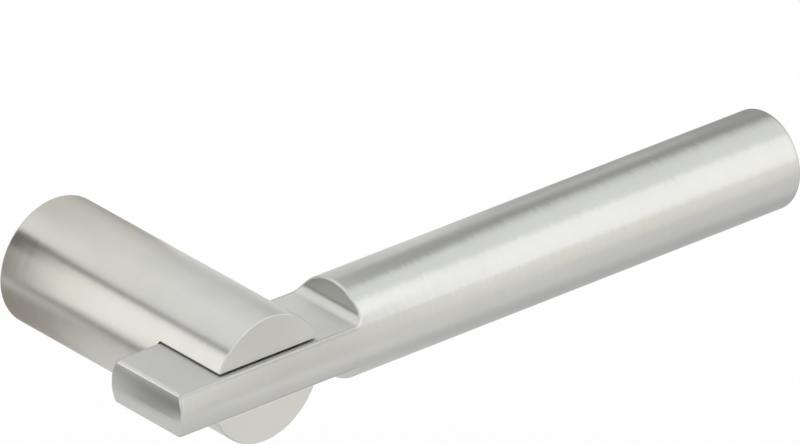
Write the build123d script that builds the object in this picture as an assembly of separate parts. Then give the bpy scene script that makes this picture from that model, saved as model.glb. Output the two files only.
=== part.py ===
from build123d import *
import os
from math import hypot, sqrt

# Lever door handle of solid steel: a round neck, forked at its front end, and a round lever bar
# whose flat tongue passes through the fork and overhangs it.
# Millimetres, +Z up. The origin is the centre of the neck's door-side face, on the spindle's axis.
# The neck runs towards -Y, into the room, and the lever towards +X.

# Neck
neck_diameter = 26.0
projection = 53.0  # door-side face to the lever's axis
jaw_reach = 7.9  # lever's axis to the ends of the jaws
neck_rim_round = 1.0
jaw_edge_round = 0.25
web_thickness = 6.0  # between the slot's floor and the seat of the tie screw's head

# Lever bar
bar_diameter = 20.0
grip_length = 133.8  # spindle's axis to the free end
overhang = 22.8  # spindle's axis to the near end
free_end_round = 1.2
tongue_thickness = 9.0
cove_reach = 22.75  # spindle's axis to the walls where the flats end
cove_radius = 2.0
crown_flat = 1.8  # height of the flat band across the middle of the near end
crown_radius = 18.0  # gentle fall of the near end above and below that band
lip_round = 0.7  # where the near end meets the flats
tongue_edge_round = 0.6  # where all of these meet the bar's round

# Fit of the tongue in the fork
slot_clearance = 0.25  # above and below the tongue
floor_clearance = 0.02  # behind the tongue's round back

# Tie screw, M5 with a socket head, and its split washer
tie_diameter = 5.0
tie_length = 16.0
tie_head_diameter = 8.5
tie_head_height = 5.0
tie_hex_width = 4.0
tie_hex_depth = 2.5
tie_hole_clearance = 0.25  # on the radius, through the web and the washer
tie_hole_run_out = 1.5  # hole left past the screw's tip
washer_diameter = 9.2
washer_thickness = 1.2
washer_split = 1.0
head_bore_clearance = 0.4  # on the radius, round the washer and the head
head_gap = 2.3  # behind the head, to the insert

# Spindle insert
spindle_square = 8.0
spindle_clearance = 0.05  # on each side of the square
insert_wall = 1.3  # at the square's corners
insert_press_gap = 0.01  # on the radius
mouth_chamfer = 0.4

# Grub screw, M6, from below
grub_diameter = 6.0
grub_recess = 0.7  # neck's surface to the screw's outer end
grub_station = 13.0  # door-side face to the screw's axis
grub_standoff = 0.2  # tip to the square's side
grub_hex_width = 3.0
grub_hex_depth = 3.0
grub_point_chamfer = 0.8
grub_hole_clearance = 0.3  # on the radius, in the insert
thread_clearance = 0.03  # on the radius: threads are drawn as plain cylinders

# What follows from them
neck_radius = neck_diameter / 2
neck_length = projection + jaw_reach
bar_radius = bar_diameter / 2
tongue_half = tongue_thickness / 2
slot_half = tongue_half + slot_clearance
floor_radius = bar_radius + floor_clearance
crown_rise = tongue_half - crown_flat / 2
crown_end_x = -overhang + crown_radius - sqrt(crown_radius**2 - crown_rise**2)
head_seat_y = -(projection - floor_radius - web_thickness)
under_head_y = head_seat_y + washer_thickness
head_top_y = under_head_y + tie_head_height
tie_tip_y = under_head_y - tie_length
head_bore_radius = max(washer_diameter, tie_head_diameter) / 2 + head_bore_clearance
tie_hole_radius = tie_diameter / 2 + tie_hole_clearance
socket_half = spindle_square / 2 + spindle_clearance
insert_radius = socket_half * sqrt(2) + insert_wall
insert_front_y = head_top_y + head_gap
grub_tip_z = -(socket_half + grub_standoff)
grub_length = neck_radius - grub_recess + grub_tip_z

past = 1.0  # how far a cut runs past the surface that it leaves by
near = 0.01  # how close an edge lies to the surface that it is found by
hanging = (Align.CENTER, Align.CENTER, Align.MAX)  # downwards from its place


def turned(points):
    """A solid turned about the Y axis from its half section, given as (radius, y) points."""
    return revolve(make_face(Polyline(*points, close=True)), Axis.Y)


def socket_hexagon(width):
    return RegularPolygon(width / 2, 6, major_radius=False)


def neck_blank():
    """The turned neck: round outside, stepped bore for the insert, the screw's head and its shank."""
    bore_radius = insert_radius + insert_press_gap
    return turned([
        (0, -neck_length),
        (neck_radius, -neck_length),
        (neck_radius, 0),
        (bore_radius + mouth_chamfer, 0),
        (bore_radius, -mouth_chamfer),
        (bore_radius, insert_front_y),
        (head_bore_radius, insert_front_y),
        (head_bore_radius, head_seat_y),
        (tie_hole_radius, head_seat_y),
        (tie_hole_radius, -projection),
        (0, -projection),
    ])


def slot():
    """The slot through the neck: the tongue's own section with its clearance, open at the front."""
    mouth_length = jaw_reach + past
    floor = Circle(floor_radius) & Rectangle(2 * floor_radius, 2 * slot_half)
    mouth = Pos(-mouth_length / 2, 0) * Rectangle(mouth_length, 2 * slot_half)
    section = Pos(-projection, 0) * (floor + mouth)
    return extrude(Plane.YZ * section, neck_radius + past, both=True)


def rings_the_rim(edge):
    """Whether an edge is the neck's outer rim at the door side."""
    middle = edge @ 0.5
    return abs(middle.Y) < near and abs(hypot(middle.X, middle.Z) - neck_radius) < near


def rings_the_jaws(edge):
    """Whether an edge runs round the ends of the jaws, or straight along the slot on the outside."""
    middle = edge @ 0.5
    on_jaw_end = abs(middle.Y + neck_length) < near
    on_outside = abs(hypot(middle.X, middle.Z) - neck_radius) < near
    along_slot = edge.geom_type == GeomType.LINE and abs(abs(middle.Z) - slot_half) < near
    return on_jaw_end or (on_outside and along_slot)


def grub_hole():
    """The tapped hole, from inside the insert's bore down through the neck."""
    depth = neck_radius - insert_radius + 2 * past
    hole = Cylinder(grub_diameter / 2 + thread_clearance, depth, align=hanging)
    return Pos(0, -grub_station, past - insert_radius) * hole


def make_neck():
    neck = neck_blank()
    neck = fillet(neck.edges().filter_by(rings_the_rim), neck_rim_round)
    neck -= slot()
    neck = fillet(neck.edges().filter_by(rings_the_jaws), jaw_edge_round)
    return neck - grub_hole()


def side_outline():
    """The bar from the front: crowned near end, flats, coves, and then clear of the round bar."""
    clear_z = bar_radius + past
    clear_x = grip_length + past
    crown_start = (-overhang, crown_flat / 2)
    crown_end = (crown_end_x, tongue_half)
    cove_start = (cove_reach - cove_radius, tongue_half)
    cove_end = (cove_reach, tongue_half + cove_radius)
    upper = Curve() + [
        Line((-overhang, 0), crown_start),
        RadiusArc(crown_start, crown_end, crown_radius),
        Line(crown_end, cove_start),
        RadiusArc(cove_start, cove_end, -cove_radius),
        Polyline(cove_end, (cove_reach, clear_z), (clear_x, clear_z), (clear_x, 0), (-overhang, 0)),
    ]
    half = make_face(upper)
    half = fillet(half.vertices().sort_by_distance(crown_end)[0], lip_round)
    return half + mirror(half, Plane.XZ)


def rings_the_tongue(edge):
    """Whether an edge lies where the tongue's flats, coves and near end meet the bar's round."""
    middle = edge @ 0.5
    on_round = abs(hypot(middle.Y + projection, middle.Z) - bar_radius) < near
    return on_round and middle.X < cove_reach + near


def tie_hole():
    """The tapped hole in the tongue's back."""
    radius = tie_diameter / 2 + thread_clearance
    front_y = tie_tip_y - tie_hole_run_out
    back_y = -projection + bar_radius + past
    return turned([(0, front_y), (radius, front_y), (radius, back_y), (0, back_y)])


def make_lever_bar():
    middle_x = (grip_length - overhang) / 2
    bar = Pos(middle_x, -projection, 0) * Rot(0, 90, 0) * Cylinder(bar_radius, grip_length + overhang)
    bar = fillet(bar.edges().sort_by(Axis.X)[-1], free_end_round)
    bar &= extrude(Plane.XZ.offset(projection) * side_outline(), bar_radius + past, both=True)
    bar = fillet(bar.edges().filter_by(rings_the_tongue), tongue_edge_round)
    return bar - tie_hole()


def make_tie_screw():
    screw = turned([
        (0, tie_tip_y),
        (tie_diameter / 2, tie_tip_y),
        (tie_diameter / 2, under_head_y),
        (tie_head_diameter / 2, under_head_y),
        (tie_head_diameter / 2, head_top_y),
        (0, head_top_y),
    ])
    head_top = Plane.XZ.offset(-head_top_y)
    return screw - extrude(head_top * socket_hexagon(tie_hex_width), tie_hex_depth)


def make_lock_washer():
    split = Pos(washer_diameter / 2, 0) * Rectangle(washer_diameter, washer_split)
    ring = Circle(washer_diameter / 2) - Circle(tie_hole_radius) - split
    return extrude(Plane.XZ.offset(-under_head_y) * ring, washer_thickness)


def make_spindle_insert():
    sleeve = turned([(0, insert_front_y), (insert_radius, insert_front_y), (insert_radius, 0), (0, 0)])
    sleeve -= extrude(Plane.XZ * Rectangle(2 * socket_half, 2 * socket_half), -insert_front_y)
    grub_way = Cylinder(grub_diameter / 2 + grub_hole_clearance, insert_radius, align=hanging)
    return sleeve - Pos(0, -grub_station, 0) * grub_way


def make_grub_screw():
    screw = Cylinder(grub_diameter / 2, grub_length, align=hanging)
    screw = chamfer(screw.edges().sort_by(Axis.Z)[-1], grub_point_chamfer)
    screw -= Pos(0, 0, -grub_length) * extrude(socket_hexagon(grub_hex_width), grub_hex_depth)
    return Pos(0, -grub_station, grub_tip_z) * screw


pieces = {
    "neck": make_neck(),
    "lever_bar": make_lever_bar(),
    "tie_screw": make_tie_screw(),
    "lock_washer": make_lock_washer(),
    "spindle_insert": make_spindle_insert(),
    "grub_screw": make_grub_screw(),
}

os.makedirs("parts", exist_ok=True)
for name, piece in pieces.items():
    export_step(piece, f"parts/{name}.step")
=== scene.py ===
import math
from collections import namedtuple

import bpy
from mathutils import Matrix, Vector


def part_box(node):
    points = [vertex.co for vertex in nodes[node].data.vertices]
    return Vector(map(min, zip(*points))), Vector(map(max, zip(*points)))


# A lever door handle of brushed steel on a plain pale floor, under soft studio light.
# Metres, +Z up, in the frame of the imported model: the neck runs along -Y and the lever along +X.

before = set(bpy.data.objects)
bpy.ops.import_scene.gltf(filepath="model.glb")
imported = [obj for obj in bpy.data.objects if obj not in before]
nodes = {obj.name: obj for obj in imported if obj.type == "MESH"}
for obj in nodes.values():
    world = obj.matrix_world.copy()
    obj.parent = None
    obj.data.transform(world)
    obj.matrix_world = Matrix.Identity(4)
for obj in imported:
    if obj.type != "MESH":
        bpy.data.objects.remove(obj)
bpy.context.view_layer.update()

MM = 0.001
UP = Vector((0, 0, 1))

# Camera
CAMERA_AZIMUTH = math.radians(-43.105)
CAMERA_ELEVATION = math.radians(27.633)
CAMERA_ROLL = math.radians(2.345)
CAMERA_DISTANCE = 3.312
PIXELS_PER_METRE = 5404.4
IMAGE_WIDTH = 800
IMAGE_HEIGHT = 444
TARGET_PIXEL = (238.7, 363.45)  # where the neck's axis meets the lever's
SENSOR_WIDTH = 36.0
CLIP_START = 0.1
CLIP_END = 100.0

# Places on the object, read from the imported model
neck_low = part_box("neck")[0]
bar_low, bar_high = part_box("lever_bar")
bar_axis = Vector((0, (bar_low.y + bar_high.y) / 2, 0))
bar_radius = (bar_high.y - bar_low.y) / 2
jaw_ends_y = neck_low.y

# Sizes of the fork joint
TONGUE_HALF = 4.5 * MM  # half the tongue's thickness
SLOT_HALF = 4.75 * MM  # half the slot's height
COVE_REACH = 22.75 * MM  # spindle's axis to the walls where the flats end

# The two round bars: a point on the axis, the way along it, and the level way across it
Rod = namedtuple("Rod", "centre along level_side")
NECK = Rod(Vector((0, 0, 0)), Vector((0, 1, 0)), Vector((1, 0, 0)))
BAR = Rod(bar_axis, Vector((1, 0, 0)), Vector((0, 1, 0)))

# Floor and light
FLOOR_DROP = 0.12  # floor's distance below the object
FLOOR_SIZE = 16.0
FLOOR_PAPER = (0.995, 0.995, 0.995, 1)
WORLD_LEVEL = 1.0
WHITE = (1.0, 1.0, 1.0)
WARM = (1.0, 0.982, 0.94)
COOL = (0.96, 0.985, 1.0)
YELLOWISH = (1.0, 0.985, 0.93)
PALE_YELLOW = (1.0, 0.99, 0.965)
BROWNISH = (1.0, 0.94, 0.85)
WHOLE_LENGTH = (-0.1, 1.0)  # reach of a card that stands beside all of the neck or the bar
EVEN_FADE = (0.3, 0.3)  # shares of a card's half size over which its two edges fade
SHARP_START = (0.1, 0.3)

# Grain of the brushed steel. Cells are counted a metre, lengthwise and crosswise or along X, Y and Z.
FINE_CELLS = (4200, 110)
COARSE_CELLS = (1800, 90)
COARSE_SHARE = 0.4
LEANING_CELLS = (3000, 60)
STREAK_NOISE = {"detail": 3.0, "roughness": 0.6}
END_CELLS = (2600, 2600, 2600)
END_GRAIN_SHARE = 0.3
CLOUD_CELLS = (90, 90, 90)
CLOUD_TONES = (0.985, 1.015)
NOISE_RANGE = (0.3, 0.7)  # where most of a noise lies
NOISE_MIDDLE = 0.5

# Finish of the brushed steel
END_FACING = (0.85, 0.97)  # cosine of the angle between normal and axis, from a side to an end
ROUGHNESS = (0.30, 0.38)
END_SMOOTHER = 0.03
ANISOTROPY = 0.85
GRAIN_BUMP = 0.12
GRAIN_DEPTH = 0.04 * MM
TINT_DRIFT = 30 * MM  # how unevenly the warmer tint begins

# Finish of the fork joint, with light and shade painted round it, as factors of the tone and as what is added
# to the roughness
# the jaw ends are painted lighter, and a painted highlight runs along the slot's edges
JAW_END_PAINTED_LIGHT = 1.05
SLOT_EDGE_HIGHLIGHT = 1.1
FLAT_TONES = (1.02, 1.18)  # at the two stations along X
FLAT_TONE_STATIONS = (-20 * MM, 5 * MM)
FLAT_ROUGHER = 0.06
# painted highlight on the flat strip in front of the jaws
FRONT_STRIP_HIGHLIGHT = 1.2
# painted shade that darkens the tongue's long corners over their highlight
CORNER_PAINTED_SHADE = 0.92
DULL_ROUGHER = 0.16

# Where these finishes and painted highlights and shade begin and end: heights, distances from the bar's axis,
# and places along Y and X
SLOT_EDGE_HIGHLIGHT_FALL = (SLOT_HALF + 0.25 * MM, SLOT_HALF + 0.85 * MM)
CORNER_RISE = (TONGUE_HALF - 0.9 * MM, TONGUE_HALF - 0.4 * MM)
CORNER_FALL = (TONGUE_HALF + 0.2 * MM, TONGUE_HALF + 0.4 * MM)
flat_fall = (bar_radius - 0.6 * MM, bar_radius - 0.1 * MM)
outer_rise = (bar_radius - 0.8 * MM, bar_radius - 0.4 * MM)
front_strip_highlight_fall = (jaw_ends_y - 0.9 * MM, jaw_ends_y)
COVE_FALL = (COVE_REACH - 2.25 * MM, COVE_REACH - 0.55 * MM)

# Plain steel of the inner pieces
PLAIN_TONES = (0.9, 1.08)
PLAIN_ROUGHNESS_RANGE = 0.05  # either way
PLAIN_DETAIL = 3.0
PLAIN_BUMP = 0.2
PLAIN_DEPTH = 0.03 * MM


def make_camera():
    """The camera at the photograph's angle: its target is where the neck's axis meets the lever's."""
    a, e, roll = CAMERA_AZIMUTH, CAMERA_ELEVATION, CAMERA_ROLL
    back = Vector((math.sin(a) * math.cos(e), -math.cos(a) * math.cos(e), math.sin(e)))
    level_right = (-back).cross(UP).normalized()
    level_up = level_right.cross(-back)
    right = math.cos(roll) * level_right + math.sin(roll) * level_up
    up = math.cos(roll) * level_up - math.sin(roll) * level_right
    across = (TARGET_PIXEL[0] - IMAGE_WIDTH / 2) / PIXELS_PER_METRE
    above = (IMAGE_HEIGHT / 2 - TARGET_PIXEL[1]) / PIXELS_PER_METRE
    place = bar_axis + CAMERA_DISTANCE * back - across * right - above * up

    data = bpy.data.cameras.new("camera")
    data.sensor_width = SENSOR_WIDTH
    data.lens = PIXELS_PER_METRE * CAMERA_DISTANCE * SENSOR_WIDTH / IMAGE_WIDTH
    data.clip_start = CLIP_START
    data.clip_end = CLIP_END
    camera = bpy.data.objects.new("camera", data)
    camera.matrix_world = Matrix.Translation(place) @ Matrix((right, up, back)).transposed().to_4x4()
    bpy.context.scene.collection.objects.link(camera)
    bpy.context.scene.camera = camera


class Nodes:
    """Short calls that add shader nodes to one node tree."""

    def __init__(self, tree):
        self.tree = tree

    def add(self, kind, values=None, **settings):
        node = self.tree.nodes.new(kind)
        for name, value in settings.items():
            setattr(node, name, value)
        for socket, value in (values or {}).items():
            self.put(value, node.inputs[socket])
        return node

    def put(self, value, socket):
        if isinstance(value, bpy.types.NodeSocket):
            self.tree.links.new(value, socket)
        else:
            socket.default_value = value

    def math(self, operation, *values):
        return self.add("ShaderNodeMath", dict(enumerate(values)), operation=operation).outputs[0]

    def product(self, first, *others):
        for other in others:
            first = self.math("MULTIPLY", first, other)
        return first

    def total(self, first, *others):
        for other in others:
            first = self.math("ADD", first, other)
        return first

    def vector_math(self, operation, *values):
        node = self.add("ShaderNodeVectorMath", dict(enumerate(values)), operation=operation)
        return node.outputs["Value"] if operation in ("DOT_PRODUCT", "LENGTH") else node.outputs["Vector"]

    def scaled(self, vector, number):
        node = self.add("ShaderNodeVectorMath", {0: vector, "Scale": number}, operation="SCALE")
        return node.outputs["Vector"]

    def ramp(self, value, low, high, to_low=0.0, to_high=1.0):
        """A smooth step from to_low, at low, to to_high, at high."""
        values = {"Value": value, "From Min": low, "From Max": high, "To Min": to_low, "To Max": to_high}
        node = self.add("ShaderNodeMapRange", values, interpolation_type="SMOOTHSTEP")
        return node.outputs["Result"]

    def fall(self, value, low, high):
        """A smooth step from 1, at low, to 0, at high."""
        return self.ramp(value, low, high, 1.0, 0.0)

    def factor(self, mask, most):
        """1 where the mask is 0, and most where it is 1."""
        return self.ramp(mask, 0.0, 1.0, 1.0, most)

    def band(self, value, softness):
        """1 between -1 and 1, fading to 0 at both over the given widths."""
        rise = self.ramp(value, -1.0, -1.0 + softness[0])
        return self.product(rise, self.fall(value, 1.0 - softness[1], 1.0))

    def mix_number(self, factor, first, second):
        return self.add("ShaderNodeMix", {0: factor, 2: first, 3: second}, data_type="FLOAT").outputs[0]

    def mix_vector(self, factor, first, second):
        return self.add("ShaderNodeMix", {0: factor, 4: first, 5: second}, data_type="VECTOR").outputs[1]

    def split(self, vector):
        return self.add("ShaderNodeSeparateXYZ", {0: vector}).outputs

    def noise(self, point, cells, detail=2.0, roughness=0.5):
        """Noise of about 0 to 1, with a number of cells a metre along X, Y and Z."""
        stretched = self.vector_math("MULTIPLY", point, cells)
        values = {"Vector": stretched, "Scale": 1.0, "Detail": detail, "Roughness": roughness}
        return self.add("ShaderNodeTexNoise", values).outputs["Fac"]

    def spread(self, noise, low, high):
        """The range where most of a noise lies, spread from low to high."""
        return self.ramp(noise, *NOISE_RANGE, low, high)

    def finish_surface(self, shader):
        output = self.add("ShaderNodeOutputMaterial")
        self.put(shader.outputs[0], output.inputs["Surface"])


def new_material(name):
    material = bpy.data.materials.new(name)
    material.use_nodes = True
    material.node_tree.nodes.clear()
    return material, Nodes(material.node_tree)


def crosswise(rod):
    return rod.level_side + UP


def rod_cells(rod, cells):
    """Cells a metre along X, Y and Z, from those lengthwise and those crosswise to the rod."""
    return rod.along * cells[0] + crosswise(rod) * cells[1]


def jaw_painted_light(n, point, end, tone, rough, lean):
    """Painted light on the ends of the jaws: they are painted a little lighter, most of all where a painted
    highlight runs along the slot.
    """
    height = n.math("ABSOLUTE", n.split(point)["Z"])
    # painted highlight along the slot's edges on the jaw ends
    slot_highlight_mask = n.product(end, n.fall(height, *SLOT_EDGE_HIGHLIGHT_FALL))
    tone = n.product(tone, n.factor(slot_highlight_mask, SLOT_EDGE_HIGHLIGHT), n.mix_number(end, 1.0, JAW_END_PAINTED_LIGHT))
    return tone, rough, lean


def tongue_finish_and_painted_light(n, point, end, tone, rough, lean):
    """The milled flats and coves lie inside the bar's round. They are lighter and rougher, and no streak
    leans there. In front of the jaws a painted highlight makes them lighter still. The tongue's long corners
    are rougher, and painted shade makes them darker."""
    place = n.split(point)
    height = n.math("ABSOLUTE", place["Z"])
    from_axis = n.vector_math("MULTIPLY", n.vector_math("SUBTRACT", point, bar_axis), crosswise(BAR))
    from_axis = n.vector_math("LENGTH", from_axis)

    flat = n.product(n.math("SUBTRACT", 1.0, end), n.fall(from_axis, *flat_fall))
    flat_tone = n.ramp(place["X"], *FLAT_TONE_STATIONS, *FLAT_TONES)
    # painted highlight on the flat strip in front of the jaws
    front_strip_mask = n.product(flat, n.fall(place["Y"], *front_strip_highlight_fall))
    corner = n.product(n.ramp(height, *CORNER_RISE), n.fall(height, *CORNER_FALL))
    # the tongue's long corners: rougher, and darkened by painted shade
    dull_and_shaded = n.product(corner, n.ramp(from_axis, *outer_rise), n.fall(place["X"], *COVE_FALL))

    tone = n.product(tone, n.mix_number(flat, 1.0, flat_tone))
    tone = n.product(tone, n.factor(front_strip_mask, FRONT_STRIP_HIGHLIGHT), n.factor(dull_and_shaded, CORNER_PAINTED_SHADE))
    rough = n.total(rough, n.product(flat, FLAT_ROUGHER), n.product(dull_and_shaded, DULL_ROUGHER))
    lean = n.product(lean, n.math("SUBTRACT", 1.0, flat))
    return tone, rough, lean


def brushed_steel(name, rod, colour, warm_tint, tinted_from, tone_spread, streak_lean, finish_and_painted_light):
    """Satin steel whose fine grain runs round a rod, with plainer ends. Its colour turns faintly warmer from
    one place on the axis to another; on the neck, this warmer tint at the door-side end is a painted warm
    reflection. Each streak is a little lighter or darker, smoother or rougher, and leans a little its own
    way.
    The last argument is the function that changes this round the fork joint: its finish, and the light and
    shade painted there."""
    material, n = new_material(name)
    point = n.add("ShaderNodeTexCoord").outputs["Object"]
    normal = n.add("ShaderNodeNewGeometry").outputs["Normal"]
    end = n.ramp(n.math("ABSOLUTE", n.vector_math("DOT_PRODUCT", normal, rod.along)), *END_FACING)

    fine = n.noise(point, rod_cells(rod, FINE_CELLS), **STREAK_NOISE)
    coarse = n.noise(point, rod_cells(rod, COARSE_CELLS))
    leaning_lines = n.noise(point, rod_cells(rod, LEANING_CELLS), **STREAK_NOISE)
    cloud = n.noise(point, CLOUD_CELLS)
    end_grain = n.mix_number(END_GRAIN_SHARE, NOISE_MIDDLE, n.noise(point, END_CELLS))
    grain = n.mix_number(end, n.mix_number(COARSE_SHARE, fine, coarse), end_grain)

    tone = n.product(n.spread(grain, 1 - tone_spread, 1 + tone_spread), n.spread(cloud, *CLOUD_TONES))
    rough = n.math("SUBTRACT", n.spread(grain, *ROUGHNESS), n.product(end, END_SMOOTHER))
    lean = n.product(n.math("SUBTRACT", leaning_lines, NOISE_MIDDLE), streak_lean)
    tone, rough, lean = finish_and_painted_light(n, point, end, tone, rough, lean)

    round_axis = n.vector_math("CROSS_PRODUCT", rod.along, normal)
    leaning = n.vector_math("ADD", normal, n.scaled(round_axis, lean))
    bump = n.add("ShaderNodeBump", {
        "Height": grain,
        "Strength": GRAIN_BUMP,
        "Distance": GRAIN_DEPTH,
        "Normal": n.vector_math("NORMALIZE", leaning),
    })
    drift = n.product(n.math("SUBTRACT", cloud, NOISE_MIDDLE), TINT_DRIFT)
    station = n.total(n.vector_math("DOT_PRODUCT", point, rod.along), drift)
    tinted_colour = n.mix_vector(n.ramp(station, *tinted_from), Vector(colour), Vector(warm_tint))
    shader = n.add("ShaderNodeBsdfPrincipled", {
        "Base Color": n.scaled(tinted_colour, tone),
        "Metallic": 1.0,
        "Roughness": rough,
        "Anisotropic": ANISOTROPY,
        "Tangent": n.mix_vector(end, rod.along, rod.level_side),
        "Normal": bump.outputs["Normal"],
    })
    n.finish_surface(shader)
    return material


def neck_steel():
    return brushed_steel(
        "neck_brushed_steel",
        NECK,
        colour=(0.54, 0.54, 0.517),
        # the warmer tint towards the door-side end is a painted warm reflection
        warm_tint=(0.557, 0.545, 0.503),
        tinted_from=(-0.055, -0.01),
        tone_spread=0.02,
        streak_lean=0.05,
        finish_and_painted_light=jaw_painted_light,
    )


def bar_steel():
    return brushed_steel(
        "bar_brushed_steel",
        BAR,
        colour=(0.54, 0.54, 0.522),
        warm_tint=(0.545, 0.54, 0.517),
        tinted_from=(0.0, 0.2),
        tone_spread=0.016,
        streak_lean=0.2,
        finish_and_painted_light=tongue_finish_and_painted_light,
    )


def plain_steel(name, colour, roughness, cells):
    """Turned or drawn steel with an even fine grain, for the small inner pieces."""
    material, n = new_material(name)
    point = n.add("ShaderNodeTexCoord").outputs["Object"]
    grain = n.noise(point, cells, PLAIN_DETAIL)
    smoothest = roughness - PLAIN_ROUGHNESS_RANGE
    roughest = roughness + PLAIN_ROUGHNESS_RANGE
    bump = n.add("ShaderNodeBump", {"Height": grain, "Strength": PLAIN_BUMP, "Distance": PLAIN_DEPTH})
    shader = n.add("ShaderNodeBsdfPrincipled", {
        "Base Color": n.scaled(Vector(colour), n.spread(grain, *PLAIN_TONES)),
        "Metallic": 1.0,
        "Roughness": n.spread(grain, smoothest, roughest),
        "Normal": bump.outputs["Normal"],
    })
    n.finish_surface(shader)
    return material


def insert_steel():
    return plain_steel("insert_steel", colour=(0.5, 0.5, 0.49), roughness=0.4, cells=(900, 4000, 900))


def screw_steel(screw):
    return plain_steel(screw + "_steel", colour=(0.42, 0.42, 0.42), roughness=0.35, cells=(2500, 2500, 2500))


def set_material(node, material):
    for slot in nodes[node].material_slots:
        slot.material = material


def make_sheet(name, material, place, half_length, half_width):
    """A flat rectangle across the Z axis of the given place."""
    mesh = bpy.data.meshes.new(name)
    mesh.from_pydata([(-1, -1, 0), (1, -1, 0), (1, 1, 0), (-1, 1, 0)], [], [(0, 1, 2, 3)])
    mesh.materials.append(material)
    sheet = bpy.data.objects.new(name, mesh)
    sheet.matrix_world = place @ Matrix.Diagonal((half_length, half_width, 1, 1))
    bpy.context.scene.collection.objects.link(sheet)
    return sheet


def make_floor():
    material, n = new_material("floor_paper")
    n.finish_surface(n.add("ShaderNodeBsdfDiffuse", {"Color": FLOOR_PAPER}))
    place = Matrix.Translation((0, 0, neck_low.z - FLOOR_DROP))
    floor = make_sheet("floor", material, place, FLOOR_SIZE / 2, FLOOR_SIZE / 2)


def make_world():
    world = bpy.data.worlds.new("studio")
    world.use_nodes = True
    world.node_tree.nodes.clear()
    n = Nodes(world.node_tree)
    background = n.add("ShaderNodeBackground", {"Color": (*WHITE, 1.0), "Strength": WORLD_LEVEL})
    output = n.add("ShaderNodeOutputWorld")
    n.put(background.outputs["Background"], output.inputs["Surface"])
    bpy.context.scene.world = world


def card_material(name, level, tint, ends, sides, oval):
    """A reflector of even brightness whose edges fade away over the given shares of its half size."""
    material, n = new_material(name)
    place = n.add("ShaderNodeTexCoord").outputs["Object"]
    point = n.split(place)
    if oval:
        shown = n.fall(n.vector_math("LENGTH", place), 1.0 - ends[0], 1.0)
    else:
        shown = n.band(point["X"], ends)
    shown = n.product(shown, n.band(point["Y"], sides))
    light = n.add("ShaderNodeEmission", {"Color": (*tint, 1.0), "Strength": level})
    clear = n.add("ShaderNodeBsdfTransparent")
    n.finish_surface(n.add("ShaderNodeMixShader", {0: shown, 1: clear.outputs[0], 2: light.outputs[0]}))
    return material


def card(name, rod, angles, distance, reach, level, tint=WHITE, ends=EVEN_FADE, sides=EVEN_FADE, oval=False):
    """A card that the steel mirrors, unseen otherwise. It stands at a distance from the rod's axis, between
    two angles round it, in degrees from its level side upwards, and reaches along it from start to end."""
    middle = math.radians(sum(angles) / 2)
    outward = math.cos(middle) * rod.level_side + math.sin(middle) * UP
    across = math.cos(middle) * UP - math.sin(middle) * rod.level_side
    half_width = distance * math.tan(math.radians(angles[1] - angles[0]) / 2)
    half_length = (reach[1] - reach[0]) / 2
    centre = rod.centre + distance * outward + (reach[0] + half_length) * rod.along
    place = Matrix.Translation(centre) @ Matrix((rod.along, across, outward)).transposed().to_4x4()
    material = card_material(name, level, tint, ends, sides, oval)
    made = make_sheet(name, material, place, half_length, half_width)
    made.visible_camera = False
    made.visible_diffuse = False
    made.visible_shadow = False


def make_neck_cards():
    """What the round neck mirrors: light above it, brighter light at the side away from the lever, and a dark
    line along both edges of that. All round its door-side end it mirrors less light."""
    card("neck_top", NECK, (62, 131), 0.40, WHOLE_LENGTH, 1.22, sides=(0.6, 0.1))
    card("neck_bright", NECK, (137, 198), 0.38, WHOLE_LENGTH, 1.66, PALE_YELLOW, sides=(0.15, 0.2))
    card("neck_line", NECK, (130.5, 140), 0.36, WHOLE_LENGTH, 0.2)
    card("neck_low_line", NECK, (194, 205), 0.20, (-0.1, 0.6), 0.05, sides=(0.4, 0.3))
    card("neck_rear", NECK, (128, 200), 0.030, (0.002, 0.06), 0.26, YELLOWISH, SHARP_START)
    card("neck_rear_line", NECK, (127, 154), 0.029, (0.0, 0.06), 0.0, ends=SHARP_START)
    card("neck_rear_low", NECK, (201, 287), 0.030, (-0.006, 0.06), 0.4, BROWNISH, (0.2, 0.3), (0.4, 0.3))
    card("neck_rear_top", NECK, (-44, 33), 0.030, (-0.006, 0.06), 0.44, WARM, SHARP_START)
    card("neck_upper", NECK, (14, 60), 0.05, (-0.035, 0.02), 0.86, sides=(0.4, 0.4))
    card("neck_rear_roof", NECK, (20, 112), 0.031, (0.003, 0.06), 0.82, WARM, SHARP_START, (0.1, 0.9))


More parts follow.
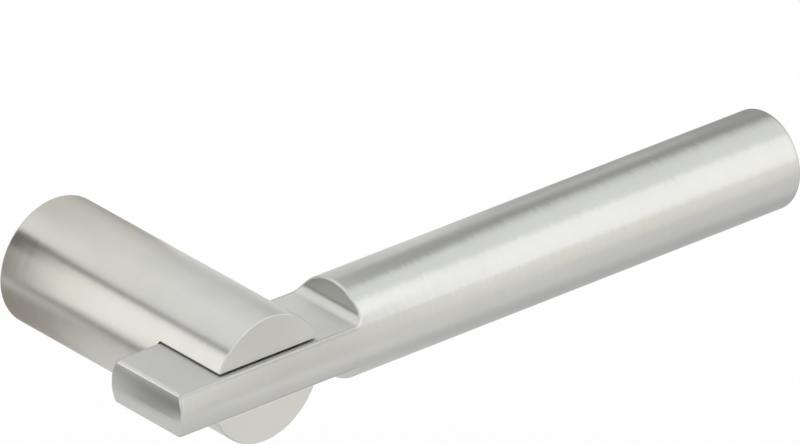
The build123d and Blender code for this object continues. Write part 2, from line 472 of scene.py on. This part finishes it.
def make_bar_cards():
    """What the round bar mirrors: light above and in front of it, less light behind and below it, and a
    darker line along its top."""
    card("bar_sky", BAR, (60, 135), 0.40, WHOLE_LENGTH, 1.25, COOL, sides=(0.35, 0.2))
    card("bar_bright", BAR, (94, 196), 0.35, (-0.2, 1.0), 1.66, sides=(0.28, 0.45))
    card("bar_warm", BAR, (150, 214), 0.38, (-0.2, 1.0), 1.27, YELLOWISH, sides=(0.2, 0.8))
    card("bar_line", BAR, (37.5, 65), 0.10, (0.075, 0.45), 0.38, ends=(0.03, 0.3), sides=(0.25, 0.25))
    card("bar_far_dark", BAR, (-32, 35), 0.05, (0.088, 0.35), 0.55, ends=SHARP_START)
    card("bar_top_dark", BAR, (-60, 0), 0.049, (0.092, 0.135), 0.2, ends=(0.1, 0.4))
    card("bar_end_dark", BAR, (-12, 42), 0.049, (0.135, 0.40), 0.36, ends=(0.2, 0.3))
    card("bar_near_line", BAR, (52, 88), 0.05, (0.038, 0.084), 0.56, ends=(0.2, 0.4), sides=(0.25, 0.5))
    card("bar_low", BAR, (240, 316), 0.09, (0.082, 0.6), 0.72, COOL, SHARP_START)


def make_joint_cards():
    """What the tongue, the ends of the jaws and the bar's near end mirror."""
    card("tongue_low", BAR, (232, 290), 0.05, (0.008, 0.064), 0.89, WARM)
    card("tongue_front", BAR, (138, 214), 0.05, (0.008, 0.052), 0.88, WARM, (0.3, 0.2))
    card("jaw_front", BAR, (194, 229), 0.10, (0.03, 0.11), 1.2, WARM)
    card(
        "near_end_dark", NECK, (180, 196.7), 0.036, (-0.057, -0.034), 0.0,
        ends=(0.2, 0.1), sides=(1.85, 0.01), oval=True,
    )


make_camera()
set_material("neck", neck_steel())
set_material("lever_bar", bar_steel())
set_material("spindle_insert", insert_steel())
for screw in ("tie_screw", "lock_washer", "grub_screw"):
    set_material(screw, screw_steel(screw))
make_floor()
make_world()
make_neck_cards()
make_bar_cards()
make_joint_cards()
bpy.context.scene.view_settings.view_transform = "Standard"
